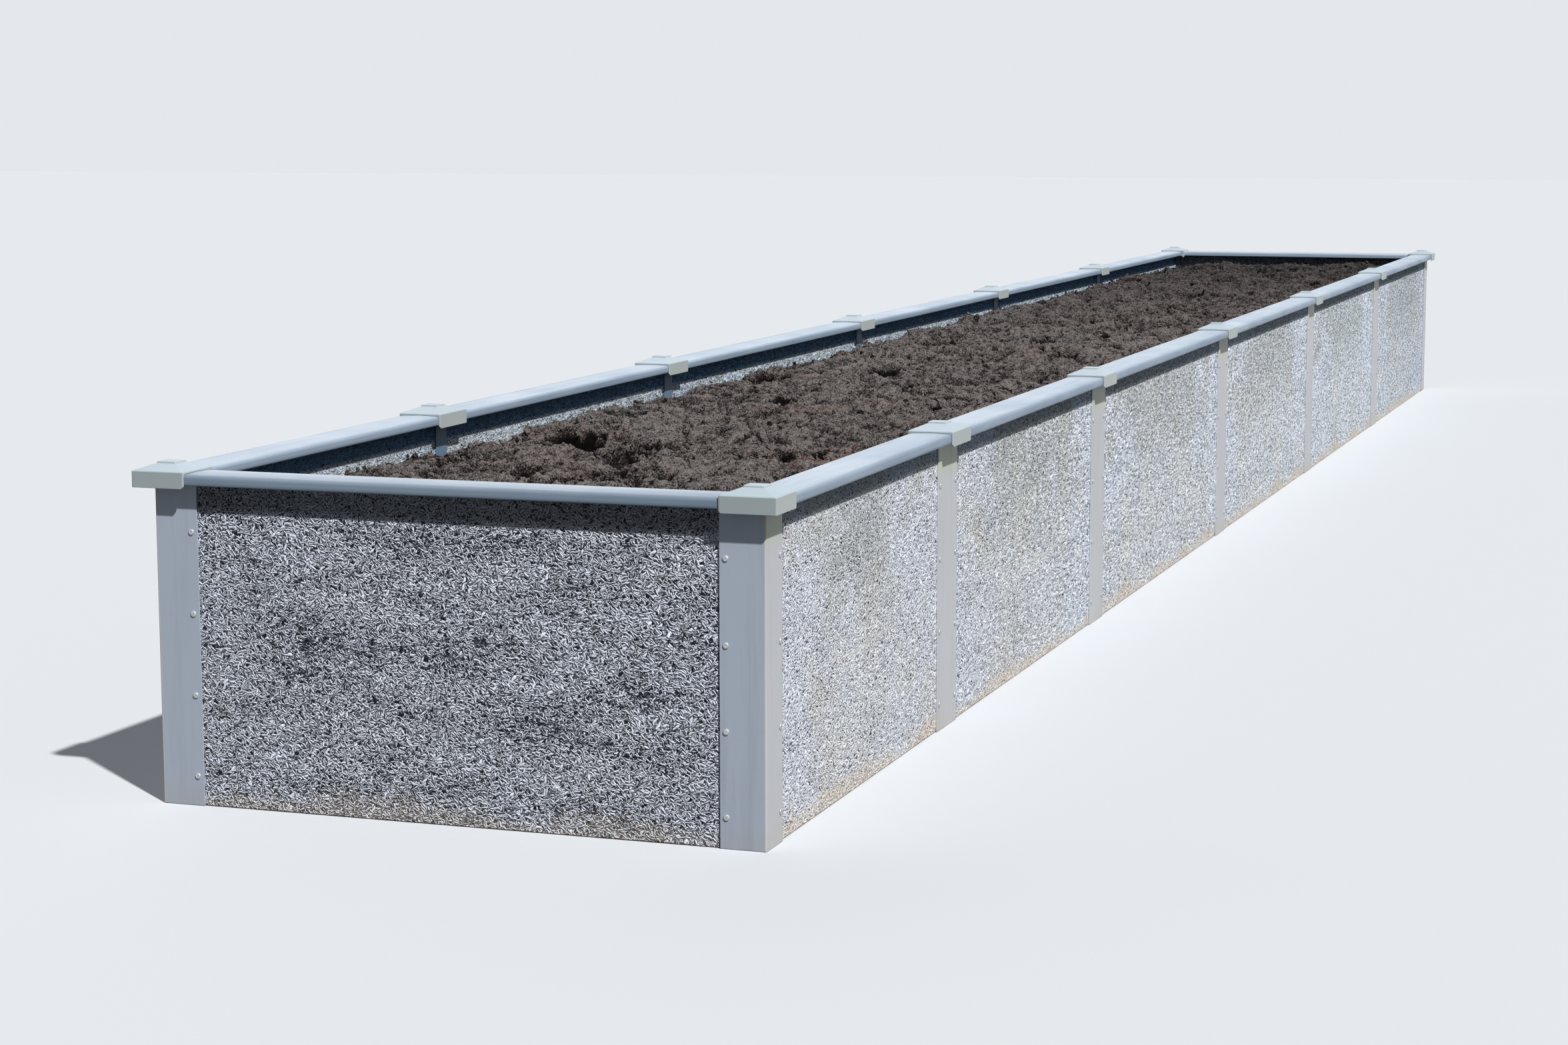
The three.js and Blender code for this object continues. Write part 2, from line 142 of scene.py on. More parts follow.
# Each lamp's strength, colour, width in degrees and direction to it
LAMPS = {
    "key_light": (3.65, (1.0, 0.993, 0.98), 1.5, (0.66, -0.55, 1.0)),
    "side_fill": (0.22, (0.93, 0.97, 1.03), 90.0, (1.0, -0.05, 0.35)),
    "back_fill": (1.00, (0.99, 0.995, 1.0), 90.0, (-0.80, 0.60, 0.22)),
}
CAMERA_PLACE = (1.9092, -7.8864, 1.0725)
CAMERA_TURN = (1.419921, 0.237956, 0.270425)  # axis times angle
CAMERA_LENS = 68.76

# ---- Node helpers ----


def new_material(name):
    material = bpy.data.materials.new(name)
    material.use_nodes = True
    material.node_tree.nodes.clear()
    return Graph(material)


class Graph:
    """Short forms for building a material's nodes."""

    def __init__(self, material):
        self.material = material
        self.tree = material.node_tree
        self.geometry = self.node("ShaderNodeNewGeometry")
        self.position = self.geometry.outputs["Position"]

    def node(self, kind, **settings):
        node = self.tree.nodes.new(kind)
        for name, value in settings.items():
            setattr(node, name, value)
        return node

    def put(self, value, socket):
        if hasattr(value, "links") or isinstance(value, bpy.types.NodeSocket):
            self.tree.links.new(value, socket)
        else:
            socket.default_value = value

    def math(self, operation, a, b=0.0, c=0.0):
        node = self.node("ShaderNodeMath", operation=operation)
        for socket, value in zip(node.inputs, (a, b, c)):
            self.put(value, socket)
        return node.outputs[0]

    def split(self, vector):
        node = self.node("ShaderNodeSeparateXYZ")
        self.put(vector, node.inputs[0])
        return node.outputs

    def join(self, x, y, z=0.0):
        node = self.node("ShaderNodeCombineXYZ")
        for socket, value in zip(node.inputs, (x, y, z)):
            self.put(value, socket)
        return node.outputs[0]

    def scaled(self, vector, scale):
        node = self.node("ShaderNodeVectorMath", operation="MULTIPLY")
        self.put(vector, node.inputs[0])
        node.inputs[1].default_value = scale
        return node.outputs[0]

    def noise(self, vector, scale=1.0, detail=2.0, roughness=0.5, distortion=0.0, dimensions="3D"):
        node = self.node("ShaderNodeTexNoise", noise_dimensions=dimensions)
        self.put(vector, node.inputs["Vector"])
        node.inputs["Scale"].default_value = scale
        node.inputs["Detail"].default_value = detail
        node.inputs["Roughness"].default_value = roughness
        node.inputs["Distortion"].default_value = distortion
        return node.outputs["Fac"]

    def remap(self, value, low, high, to_low=0.0, to_high=1.0, smooth=False):
        node = self.node("ShaderNodeMapRange")
        node.interpolation_type = "SMOOTHSTEP" if smooth else "LINEAR"
        self.put(value, node.inputs["Value"])
        limits = {"From Min": low, "From Max": high, "To Min": to_low, "To Max": to_high}
        for name, number in limits.items():
            node.inputs[name].default_value = number
        return node.outputs["Result"]

    def mix(self, factor, a, b, blend="MIX"):
        node = self.node("ShaderNodeMix", data_type="RGBA", blend_type=blend)
        self.put(factor, node.inputs[0])
        self.put(colour(a), node.inputs[6])
        self.put(colour(b), node.inputs[7])
        return node.outputs[2]

    def blend(self, factor, a, b):
        node = self.node("ShaderNodeMix", data_type="FLOAT")
        self.put(factor, node.inputs[0])
        self.put(a, node.inputs[2])
        self.put(b, node.inputs[3])
        return node.outputs[0]

    def vector(self, operation, a, b):
        node = self.node("ShaderNodeVectorMath", operation=operation)
        self.put(a, node.inputs[0])
        self.put(b, node.inputs[1])
        return node.outputs["Value" if operation == "LENGTH" else "Vector"]

    def bump(self, height, distance, strength=1.0, normal=None):
        node = self.node("ShaderNodeBump")
        node.inputs["Strength"].default_value = strength
        node.inputs["Distance"].default_value = distance
        self.put(height, node.inputs["Height"])
        if normal is not None:
            self.put(normal, node.inputs["Normal"])
        return node.outputs[0]

    def soft_edges(self, radius):
        node = self.node("ShaderNodeBevel")
        node.samples = 4
        node.inputs["Radius"].default_value = radius
        return node.outputs[0]

    def surface(self, base, roughness, normal=None, **fixed):
        shader = self.node("ShaderNodeBsdfPrincipled")
        self.put(colour(base), shader.inputs["Base Color"])
        self.put(roughness, shader.inputs["Roughness"])
        if normal is not None:
            self.put(normal, shader.inputs["Normal"])
        for name, value in fixed.items():
            shader.inputs[name].default_value = value
        output = self.node("ShaderNodeOutputMaterial")
        self.tree.links.new(shader.outputs[0], output.inputs["Surface"])
        return self.material


def colour(value):
    return (*value, 1.0) if isinstance(value, tuple) and len(value) == 3 else value


# ---- Materials ----


def strands(g, bent, flow, open_share, lowest_tone):
    """Tone and height of the strands, from the lowest layer to the topmost."""
    # Painted shade: the layer under the strands, seen in their gaps, is dark
    under = g.noise(g.scaled(bent, (150.0, 380.0, 1)), 1.0, 1.0, dimensions="2D")
    tone = g.remap(under, 0.40, 0.70, 0.0, 0.22)
    height = g.remap(under, 0.35, 0.65, 0.0, 0.2)
    for layer in range(STRAND_LAYERS):
        moved = g.vector("ADD", bent, (0.713 * layer + 0.11, 0.371 * layer, 0))
        cell = g.node("ShaderNodeTexVoronoi", voronoi_dimensions="2D")
        g.put(moved, cell.inputs["Vector"])
        cell.inputs["Scale"].default_value = 1 / STRAND_CELL
        chance = g.split(cell.outputs["Color"])
        angle = g.math("ADD", flow, g.remap(chance[0], 0, 1, -STRAND_TURN, STRAND_TURN))
        turned = g.node("ShaderNodeVectorRotate", rotation_type="Z_AXIS")
        g.put(g.vector("SUBTRACT", moved, cell.outputs["Position"]), turned.inputs["Vector"])
        g.put(angle, turned.inputs["Angle"])
        shape = g.scaled(turned.outputs[0], (2 / STRAND_LENGTH, 2 / STRAND_WIDTH, 0))
        slim = g.math("MULTIPLY_ADD", chance[1], 0.5, open_share)
        reach = g.math("MULTIPLY", g.vector("LENGTH", shape, (0, 0, 0)), slim)
        cover = g.remap(reach, 0.90, 1.03, 1.0, 0.0, smooth=True)
        # Painted shadow cast by each strand on the ones below
        beside = g.remap(reach, 1.0, 1.55, STRAND_SHADE, 1.0, smooth=True)
        tone = g.math("MULTIPLY", tone, beside)
        level = g.remap(chance[2], 0, 1, lowest_tone + LAYER_TONE * layer, 1.0)
        # Painted shade: each strand darker towards its edges
        level = g.math("MULTIPLY", level, g.remap(reach, 0.4, 1.0, 1.0, 0.72))
        tone = g.blend(cover, tone, level)
        lift = LAYER_LIFT * layer
        crest = g.remap(reach, 0.0, 1.0, 0.5 + lift, 0.32 + lift)
        tilt = g.remap(chance[2], 0, 1, -STRAND_TILT, STRAND_TILT)
        crest = g.math("MULTIPLY_ADD", g.split(shape)[0], tilt, crest)
        height = g.blend(cover, height, crest)
    return tone, height


def wood_wool(name, look, sides):
    """A board of short curled strands of wood in cement, for the side walls or the end walls."""
    g = new_material(name)
    x, y, z = g.split(g.position)
    wall = g.join(g.math("ADD", x, y), z)
    patches = g.noise(g.scaled(wall, (5.0, 17.0, 1)), 1.0, 4.0, 0.62, dimensions="2D")
    clusters = g.noise(wall, 62.0, 2.0, 0.6, dimensions="2D")
    clusters = g.remap(clusters, 0.3, 0.7, -look["spread"], look["spread"])
    open_share = g.math("ADD", g.remap(patches, 0.33, 0.7, *look["openness"]), clusters)
    flow = g.remap(g.noise(wall, 14.0, 1.0, dimensions="2D"), 0.25, 0.75, -0.35, 0.35)
    sway = g.node("ShaderNodeTexNoise", noise_dimensions="2D")
    g.put(wall, sway.inputs["Vector"])
    sway.inputs["Scale"].default_value = 90.0
    sway.inputs["Detail"].default_value = 0.0
    swayed = g.scaled(sway.outputs["Color"], (STRAND_SWAY, STRAND_SWAY, 0))
    bent = g.scaled(g.vector("ADD", wall, swayed), (1 / look["stretch"], 1, 1))
    tone, height = strands(g, bent, flow, open_share, look["lowest_tone"])

    # Painted shade: open patches, with deeper gaps, darker
    holes = g.noise(g.scaled(bent, (34.0, 120.0, 1)), 1.0, 3.0, 0.65, dimensions="2D")
    holes = g.math("MULTIPLY_ADD", patches, 0.5, holes)
    if not sides:
        away = g.math("ABSOLUTE", g.math("SUBTRACT", z, BELT_HEIGHT))
        holes = g.math("ADD", holes, g.remap(away, 0.02, 0.12, 0.03, -0.02, smooth=True))
    tone = g.math("MULTIPLY", tone, g.remap(holes, 0.86, 0.96, 1.0, look["hole_tone"]))
    mottle = g.noise(wall, 26.0, 4.0, 0.68, dimensions="2D")
    tone = g.math("MULTIPLY", tone, g.remap(mottle, 0.3, 0.7, *look["mottle"]))
    tone = g.remap(tone, *look["tone_range"])
    base = g.mix(tone, look["dark"], look["light"])
    clouds = g.noise(wall, 5.0, 5.0, 0.62, dimensions="2D")
    base = g.mix(g.remap(clouds, 0.48, 0.66, 0.0, 0.5), base, (1.04, 1.0, 0.92), "MULTIPLY")
    # Painted shadow of the rail across the top of the board
    painted_rail_shadow = g.remap(z, *look["painted_rail_shadow"], 0.0, 0.9, smooth=True)
    if sides:
        base = side_wall(g, base, wall, clouds, painted_rail_shadow)
    else:
        # The end boards' top band darkened: painted shadow of the rail
        base = g.mix(painted_rail_shadow, base, (0.40, 0.40, 0.41), "MULTIPLY")
    # Painted light bounced up from the ground: a warm, paler band at the foot of each board, with
    # a ragged top
    ragged = g.math("ADD", z, g.remap(patches, 0.3, 0.7, 0.014, -0.020))
    painted_ground_glow = g.remap(ragged, 0.0, 0.036, look["ground_glow"], 0.0, smooth=True)
    base = g.mix(painted_ground_glow, base, g.mix(tone, (0.50, 0.41, 0.33), (1.0, 0.92, 0.82)))
    normal = g.bump(height, look["bump"], 1.0)
    return g.surface(base, 0.92, normal, **{"Specular IOR Level": 0.2})


def side_wall(g, base, wall, clouds, painted_rail_shadow):
    """Speckles that grow with distance, weather outside, and painted shade: a darker, bluer inner
    face, and the rails' shadows on both faces.
    """
    x, y, z = g.split(g.position)
    outer = g.remap(g.math("SUBTRACT", g.math("ABSOLUTE", x), WIDTH / 2), -0.012, -0.008)
    coarse = g.noise(g.scaled(wall, (20.0, 75.0, 1)), 1.0, 3.0, 0.7, dimensions="2D")
    swing = g.remap(y, -3.3, 1.6, 0.30, 1.35)
    shade = g.math("MULTIPLY_ADD", g.math("SUBTRACT", coarse, 0.5), swing, 1.0)
    speckles = g.noise(g.scaled(wall, (46.0, 165.0, 1)), 1.0, 1.0, 0.6, dimensions="2D")
    swing = g.remap(y, -3.6, -1.8, 0.4, 1.9)
    shade = g.math("MULTIPLY_ADD", g.math("SUBTRACT", speckles, 0.5), swing, shade)
    base = g.mix(1.0, base, g.join(shade, shade, shade), "MULTIPLY")
    base = weathered_bay(g, base, y, z, clouds, outer)
    inner = g.math("SUBTRACT", 1.0, outer)
    # Painted shade: the inner faces of the side boards darker and bluer
    base = g.mix(inner, base, (0.63, 0.69, 0.72), "MULTIPLY")
    # Painted shadow of the rail high on the inner face
    painted_inner_shadow = g.math("MULTIPLY", g.remap(z, 0.467, 0.478, smooth=True), inner)
    base = g.mix(painted_inner_shadow, base, (0.17, 0.29, 0.44), "MULTIPLY")
    # Painted shadow of the rail on the outer face
    return g.mix(g.math("MULTIPLY", painted_rail_shadow, outer), base, (0.38, 0.44, 0.48), "MULTIPLY")


def weathered_bay(g, base, y, z, clouds, outer):
    """The side boards are weathered paler beside the posts, duller high up between them, and
    scuffed.
    """
    nearest = None
    for place in [-LENGTH / 2, *POST_CENTRES, LENGTH / 2]:
        away = g.math("ABSOLUTE", g.math("SUBTRACT", y, place))
        nearest = away if nearest is None else g.math("MINIMUM", nearest, away)
    edge = g.math("ADD", nearest, g.remap(clouds, 0.3, 0.7, -0.20, 0.20))
    bleach_and_sky_sheen = g.remap(edge, 0.06, 0.40, 0.8, 0.0, smooth=True)
    base = g.mix(bleach_and_sky_sheen, base, (1.01, 1.03, 1.10), "MULTIPLY")
    for start, full, tint in BAY_TINTS:
        base = g.mix(g.remap(y, start, full), base, tint, "MULTIPLY")
    high = g.remap(z, 0.20, 0.40, 0.0, 1.0, smooth=True)
    dull = g.math("MULTIPLY", high, g.remap(edge, 0.12, 0.42, 0.0, 1.0, smooth=True))
    base = g.mix(g.math("MULTIPLY", dull, outer), base, (0.80, 0.805, 0.785), "MULTIPLY")
    for place, lowest in SCUFFS:
        offset = g.vector("SUBTRACT", g.join(y, z), (place, lowest + SCUFF_RADIUS, 0))
        ring = g.math("SUBTRACT", g.vector("LENGTH", offset, (0, 0, 0)), SCUFF_RADIUS)
        wavy = g.math("ABSOLUTE", g.math("ADD", ring, g.remap(clouds, 0.3, 0.7, -0.004, 0.004)))
        line = g.remap(wavy, 0.001, 0.007, 0.6, 0.0, smooth=True)
        away = g.math("ABSOLUTE", g.math("SUBTRACT", y, place))
        sector = g.remap(away, 0.12, 0.24, 1.0, 0.0, smooth=True)
        base = g.mix(g.math("MULTIPLY", line, sector), base, (0.86, 0.86, 0.84))
    return base


def moulded(name, base, tint, roughness, grain, streak_axis=None, bleach_and_sky_sheen=None, film=False):
    """A weathered plastic moulding, with faint clouds, rubbed streaks and a fine grain."""
    g = new_material(name)
    clouds = g.noise(g.position, 5.0, 3.0, 0.55)
    body = g.mix(g.remap(clouds, 0.35, 0.7), base, tint)
    if streak_axis is not None:
        stretch = tuple(3.0 if axis == streak_axis else 60.0 for axis in range(3))
        streaks = g.noise(g.scaled(g.position, stretch), 1.0, 4.0, 0.65)
        darker = tuple(0.80 * channel for channel in tint)
        body = g.mix(g.remap(streaks, 0.5, 0.72, 0.0, 0.5), body, darker)
    dust = g.noise(g.position, 60.0, 3.0, 0.65)
    body = g.mix(g.remap(dust, 0.58, 0.8, 0.0, 0.16), body, (0.45, 0.42, 0.38))
    # Painted sky reflection: upward faces take a sky-blue colour of their own
    if bleach_and_sky_sheen:
        facing = g.split(g.geometry.outputs["Normal"])
        upward = g.remap(facing[2], 0.60, 0.99, 0.0, 1.0, smooth=True)
        pale = g.mix(g.remap(clouds, 0.3, 0.7, 0.0, 0.4), bleach_and_sky_sheen, body)
        body = g.mix(upward, body, pale)
        if streak_axis is None:
            # Painted light: the caps' side faces lighter
            painted_side_light = g.remap(g.math("ABSOLUTE", facing[0]), 0.5, 0.9)
            body = g.mix(painted_side_light, body, (1.23, 1.20, 1.15), "MULTIPLY")
        else:
            body = rail_wear(g, body, streaks, facing[2], streak_axis)
    if film:
        body = post_wear(g, body, clouds)
    fine = g.noise(g.position, 900.0, 1.0)
    normal = g.bump(fine, grain, 0.35, g.soft_edges(0.0012))
    rough = g.remap(clouds, 0.3, 0.7, roughness - 0.06, roughness + 0.08)
    return g.surface(body, rough, normal)


def rail_wear(g, body, streaks, upward, axis):
    """Rubbed streaks, painted shade on the outer edges, a painted sky reflection on the left
    rails' upright faces, and darker low down, in streaks.
    """
    x, y, z = g.split(g.position)
    rubbed = g.remap(streaks, 0.38, 0.62, 0.0, 0.75)
    body = g.mix(rubbed, body, (0.83, 0.855, 0.885), "MULTIPLY")
    if axis == 0:
        # Painted shade: the end rails darker towards their outer edge
        outer_edge_shade = g.remap(g.math("ABSOLUTE", y), LENGTH / 2 - 0.045, LENGTH / 2 + 0.018)
        body = g.mix(outer_edge_shade, body, (0.56, 0.58, 0.61), "MULTIPLY")
    else:
        # Painted sky reflection: the left rails' upright faces bluer
        left = g.remap(x, -0.470, -0.450, 1.0, 0.0)
        upright = g.remap(upward, 0.3, 0.7, 1.0, 0.0)
        body = g.mix(g.math("MULTIPLY", left, upright), body, (1.02, 1.28, 1.42), "MULTIPLY")
        # Painted shade: the side rails darker towards their outer edge
        outer_edge_shade = g.remap(g.math("ABSOLUTE", x), WIDTH / 2 + 0.002, WIDTH / 2 + 0.016)
        body = g.mix(outer_edge_shade, body, (0.85, 0.86, 0.88), "MULTIPLY")
    # Darker towards the rail's underside, in streaks
    under = g.remap(z, 0.505, 0.513, 1.0, 0.0, smooth=True)
    streaky_low_darkening = g.mix(g.remap(streaks, 0.35, 0.65), (0.28, 0.31, 0.34), (0.70, 0.73, 0.76))
    return g.mix(under, body, streaky_low_darkening, "MULTIPLY")


def post_wear(g, body, clouds):
    """Painted light on the side-facing plates, painted green-tinted shade high up on them, painted
    shade on the inner flanges, and earth at every foot.
    """
    x, y, z = g.split(g.position)
    # Painted light: the side-facing plates of the posts paler
    side = g.remap(g.math("ABSOLUTE", x), WIDTH / 2 - 0.004, WIDTH / 2 - 0.002)
    body = g.mix(side, body, (1.285, 1.155, 1.03), "MULTIPLY")
    # Painted shade: the posts' inner flanges darkened
    past_side = g.math("SUBTRACT", g.math("ABSOLUTE", x), WIDTH / 2)
    past_end = g.math("SUBTRACT", g.math("ABSOLUTE", y), LENGTH / 2)
    inner = g.remap(g.math("MAXIMUM", past_side, past_end), -0.027, -0.025, 1.0, 0.0)
    body = g.mix(inner, body, (0.32, 0.43, 0.52), "MULTIPLY")
    # Painted green-tinted shade high on the side-facing plates, under the caps
    high = g.remap(z, 0.435, 0.470, 0.0, 1.0, smooth=True)
    body = g.mix(g.math("MULTIPLY", side, high), body, (0.97, 1.0, 0.78), "MULTIPLY")
    low = g.remap(z, 0.0, 0.05, 1.0, 0.0, smooth=True)
    earthy = g.math("MULTIPLY", low, g.remap(clouds, 0.3, 0.7, 0.2, 0.7))
    return g.mix(earthy, body, (1.0, 0.90, 0.76), "MULTIPLY")


def earth(name, moist_and_shaded, pale):
    """Soil, dark to pale by a point attribute: wetter soil and painted shade in the hollows are
    dark, the crests pale.
    """
    g = new_material(name)
    dry_and_unshaded_values = g.node("ShaderNodeAttribute", attribute_name="dry_and_unshaded", attribute_type="GEOMETRY")
    dry_and_unshaded = dry_and_unshaded_values.outputs["Fac"]
    crumbs = g.noise(g.position, 100.0, 5.0, 0.70)
    grains = g.noise(g.position, 330.0, 2.0, 0.6)
    patches = g.noise(g.position, 3.2, 3.0, 0.5)
    level = g.math("ADD", dry_and_unshaded, g.remap(crumbs, 0.3, 0.7, -0.50, 0.50))
    level = g.math("ADD", level, g.remap(grains, 0.3, 0.7, -0.68, 0.68))
    base = g.mix(g.remap(level, 0.0, 1.0), moist_and_shaded, pale)
    base = g.mix(g.remap(patches, 0.5, 0.7, 0.0, 0.5), base, (1.1, 0.92, 0.86), "MULTIPLY")
    far = g.remap(g.split(g.position)[1], 0.0, 3.4, 0.0, 1.0)
    base = g.mix(far, base, (0.44, 0.45, 0.46), "MULTIPLY")
    # Painted shade: the hollows darkened
    hollow = g.remap(dry_and_unshaded, -0.6, 0.05, 0.30, 1.0)
    base = g.mix(1.0, base, g.join(hollow, hollow, hollow), "MULTIPLY")
    normal = g.bump(crumbs, 0.026, 1.0)
    normal = g.bump(grains, 0.011, 1.0, normal)
    return g.surface(base, 0.95, normal, **{"Specular IOR Level": 0.1})


def zinc():
    g = new_material("zinc_screw")
    cloud = g.noise(g.position, 300.0, 2.0)
    base = g.mix(g.remap(cloud, 0.3, 0.7), (0.62, 0.64, 0.66), (0.5, 0.51, 0.52))
    normal = g.bump(g.noise(g.position, 1500.0, 1.0), 0.0001, 0.4)
    return g.surface(base, g.remap(cloud, 0.3, 0.7, 0.35, 0.55), normal, Metallic=0.6)


end_board = wood_wool("wood_wool_end", END_BOARD, sides=False)
side_board = wood_wool("wood_wool_side", SIDE_BOARD, sides=True)
post_material = moulded(
    "post_plastic",
    base=(0.482, 0.547, 0.646),
    tint=(0.470, 0.532, 0.632),
    roughness=0.5,
    grain=0.00005,
    streak_axis=2,
    film=True,
)
# The end rails are a paler copy of the side rails' plastic: painted light for their faces, which
# get less light.
side_rail, end_rail = (
    moulded(name, base, tint, 0.42, 0.00006, streak_axis, bleach_and_sky_sheen=(0.422, 0.506, 0.612))
    for name, streak_axis, base, tint in (
        ("side_rail_plastic", 1, (0.375, 0.465, 0.570), (0.315, 0.40, 0.505)),
        ("end_rail_plastic", 0, (0.445, 0.548, 0.657), (0.38, 0.48, 0.585)),
    )
)
cap_material = moulded(
    "cap_plastic",
    base=(0.412, 0.471, 0.477),
    tint=(0.395, 0.455, 0.468),
    roughness=0.55,
    grain=0.00005,
    bleach_and_sky_sheen=(0.483, 0.573, 0.659),
)
soil_material = earth("garden_soil", (0.016, 0.012, 0.0115), (0.377, 0.337, 0.324))
clay_material = earth("clay_crumbs", (0.10, 0.050, 0.045), (0.36, 0.21, 0.185))
screw_material = zinc()

for name, node in nodes.items():
    side = "left" in name or "right" in name
    choices = {
        "board": side_board if side else end_board,
        "post": post_material,
        "rail": side_rail if side else end_rail,
        "cap": cap_material,
        "soil": soil_material,
    }
    node.data.materials.clear()
    for word, material in choices.items():
        if word in name:
            node.data.materials.append(material)
            break

# ---- Mesh helpers ----


def mesh_object(name, vertices, faces, material, smooth=True):
    mesh = bpy.data.meshes.new(name)
    mesh.from_pydata(vertices, [], faces)
    mesh.validate()
    mesh.materials.append(material)
    for polygon in mesh.polygons:
        polygon.use_smooth = smooth
    piece = bpy.data.objects.new(name, mesh)
    bpy.context.scene.collection.objects.link(piece)
    return piece


GRID_CELLS = 256  # after which the random values repeat
GRID_ORIGIN = 1000.0  # keeps every place on the grid above 0
FAR_BELOW = -9.0  # lower than any lump


def grid_places(x, y, size):
    """Places on a square grid of the given size, and the whole numbers of their cells."""
    u, v = x / size + GRID_ORIGIN, y / size + GRID_ORIGIN
    return u, v, np.floor(u).astype(int), np.floor(v).astype(int)


def smoothed(pick, i, j, s, t):
    """A smooth passage between the values that pick gives at the corners of cell i, j."""
    s, t = s * s * (3 - 2 * s), t * t * (3 - 2 * t)
    low = pick(i, j) * (1 - s) + pick(i + 1, j) * s
    high = pick(i, j + 1) * (1 - s) + pick(i + 1, j + 1) * s
    return low * (1 - t) + high * t


def lattice_noise(x, y, size, seed):
    """Smooth random values from 0 to 1 over the plane, on a lattice of the given size."""
    table = np.random.default_rng(seed).random((GRID_CELLS, GRID_CELLS))
    u, v, i, j = grid_places(x, y, size)
    return smoothed(lambda a, b: table[a % GRID_CELLS, b % GRID_CELLS], i, j, u - i, v - j)


def layered(x, y, size, seed, layers=4, fall=0.5, billow=False):
    """Noise in layers, each half the size of the one before. Billowed noise has sharp valleys."""
    total, weight, share = 0.0, 0.0, 1.0
    for layer in range(layers):
        value = lattice_noise(x, y, size, seed + layer)
        if billow:
            value = np.abs(2 * value - 1)
        total, weight = total + share * value, weight + share
        size, share = size / 2, share * fall
    return total / weight


# ---- Soil ----

# Hollows in the soil: centre, half sizes across and along, and depth
SOIL_PITS = [
    (-0.282, -2.751, 0.075, 0.120, 0.026), (-0.138, -2.843, 0.090, 0.120, 0.022),
    (-0.034, -2.962, 0.038, 0.060, 0.020), (-0.371, -1.314, 0.060, 0.090, 0.024),
    (-0.351, -3.041, 0.040, 0.070, 0.022), (-0.022, -3.265, 0.058, 0.080, 0.018),
    (-0.377, 3.488, 0.075, 0.200, 0.018), (-0.084, -2.251, 0.032, 0.060, 0.018),
    (0.144, 0.325, 0.048, 0.100, 0.020), (-0.127, -1.181, 0.042, 0.100, 0.018),
    (-0.004, -0.219, 0.042, 0.100, 0.018), (-0.136, -3.243, 0.028, 0.045, 0.016),
    (-0.300, -0.278, 0.055, 0.120, 0.020), (-0.071, -0.927, 0.030, 0.065, 0.016),
    (0.190, -2.917, 0.032, 0.060, 0.018), (-0.238, -3.113, 0.022, 0.028, 0.014),
    (-0.430, -2.916, 0.020, 0.045, 0.014), (0.251, -2.842, 0.020, 0.045, 0.014),
    (-0.122, 0.564, 0.034, 0.085, 0.016), (-0.082, 0.263, 0.036, 0.085, 0.016),
    (0.024, -1.719, 0.024, 0.050, 0.014), (-0.146, -1.876, 0.026, 0.050, 0.014),
    (-0.277, -2.621, 0.024, 0.042, 0.014), (0.017, -2.637, 0.028, 0.060, 0.016),
    (0.041, 1.175, 0.028, 0.090, 0.014), (-0.223, 0.622, 0.036, 0.110, 0.016),
]
PIT_DEPTH = 1.3  # what the depths above are multiplied by
CLOD_LIMIT = 0.018  # highest that a clod stands over the smooth soil
EDGE_LIMIT = 0.008  # and beside the walls
EDGE_BAND = 0.02  # width of the strip where that limit holds
LEFT_GAP = (0.015, 0.05)  # how far the soil has sunk along the left wall, and how wide


def soil_base(x, y):
    """The heap and lumps of the soil's solid, smoothed between the points of its grid."""
    side, end = WIDTH / 2 - BOARD_INSIDE, LENGTH / 2 - BOARD_INSIDE
    columns, rows = round(2 * side / SOIL_PITCH), round(2 * end / SOIL_PITCH)
    column, row = np.meshgrid(np.arange(columns + 1), np.arange(rows + 1), indexing="ij")
    roll = 43758.5453 * np.sin(12.9898 * column + 78.233 * row)
    table = roll - np.floor(roll)
    u = np.clip((x / side + 1) / 2 * columns, 0, columns - 1e-6)
    v = np.clip((y / end + 1) / 2 * rows, 0, rows - 1e-6)
    i, j = np.floor(u).astype(int), np.floor(v).astype(int)
    hollow = smoothed(lambda a, b: table[a, b], i, j, u - i, v - j)
    across = x / side
    slope = (SOIL_RIGHT - SOIL_LEFT) / 2 * across + SOIL_RISE * (y / end + 1) / 2
    level = (SOIL_LEFT + SOIL_RIGHT) / 2 + slope + SOIL_HEAP * (1 - across ** 2)
    return level - SOIL_LUMP * (1 - across ** 2 / 2) * hollow


def clod_field(x, y, size, seed, rise, tilt, dome):
    """A surface of domed and tilted lumps, and how far each point stands over the next lump."""
    rng = np.random.default_rng(seed)
    shift_x, shift_y, level, lean_x, lean_y = rng.random((5, GRID_CELLS, GRID_CELLS))
    u, v, i, j = grid_places(x, y, size)
    best, second = np.full_like(x, FAR_BELOW), np.full_like(x, FAR_BELOW)
    for across in (-1, 0, 1):
        for along in (-1, 0, 1):
            a, b = (i + across) % GRID_CELLS, (j + along) % GRID_CELLS
            du, dv = u - (i + across + shift_x[a, b]), v - (j + along + shift_y[a, b])
            lean = (2 * lean_x[a, b] - 1) * du + (2 * lean_y[a, b] - 1) * dv
            value = rise * level[a, b] + tilt * lean
            value = value - dome * (du * du + dv * dv)
            second = np.maximum(second, np.minimum(best, value))
            best = np.maximum(best, value)
    return best, best - second


